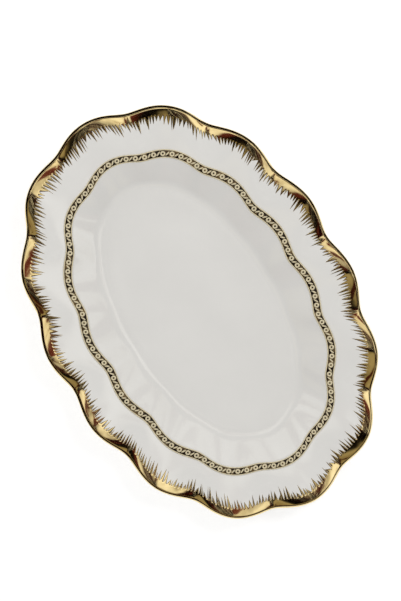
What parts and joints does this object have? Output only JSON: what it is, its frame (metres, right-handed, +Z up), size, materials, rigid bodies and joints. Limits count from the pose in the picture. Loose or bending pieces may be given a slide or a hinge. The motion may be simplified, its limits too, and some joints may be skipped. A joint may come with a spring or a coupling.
{
  "type": "oval serving platter",
  "caption": "Oval china serving platter with a scalloped gilded rim, a gilded relief chain band round the well, and a bare foot ring.",
  "frame": {"origin": "centre of the plane that the foot ring stands on", "axes": "+Z up out of the well, +X along the long axis, +Y along the short axis"},
  "size_m": [0.407, 0.2768, 0.0273],
  "materials": {
    "white_glaze": "glossy warm white glaze",
    "bare_china": "ground, unglazed",
    "bright_gold": "burnished bright gold lustre",
    "band_gold": "satin gold lustre"
  },
  "bodies": {
    "root": {"platter_body": "white_glaze", "foot_ring": "bare_china", "rim_gilding": "bright_gold", "band_outer_bead": "bright_gold", "band_inner_bead": "bright_gold", "band_ground": "band_gold", "chain_rings": "bright_gold", "chain_bars": "bright_gold"}
  },
  "joints": []
}
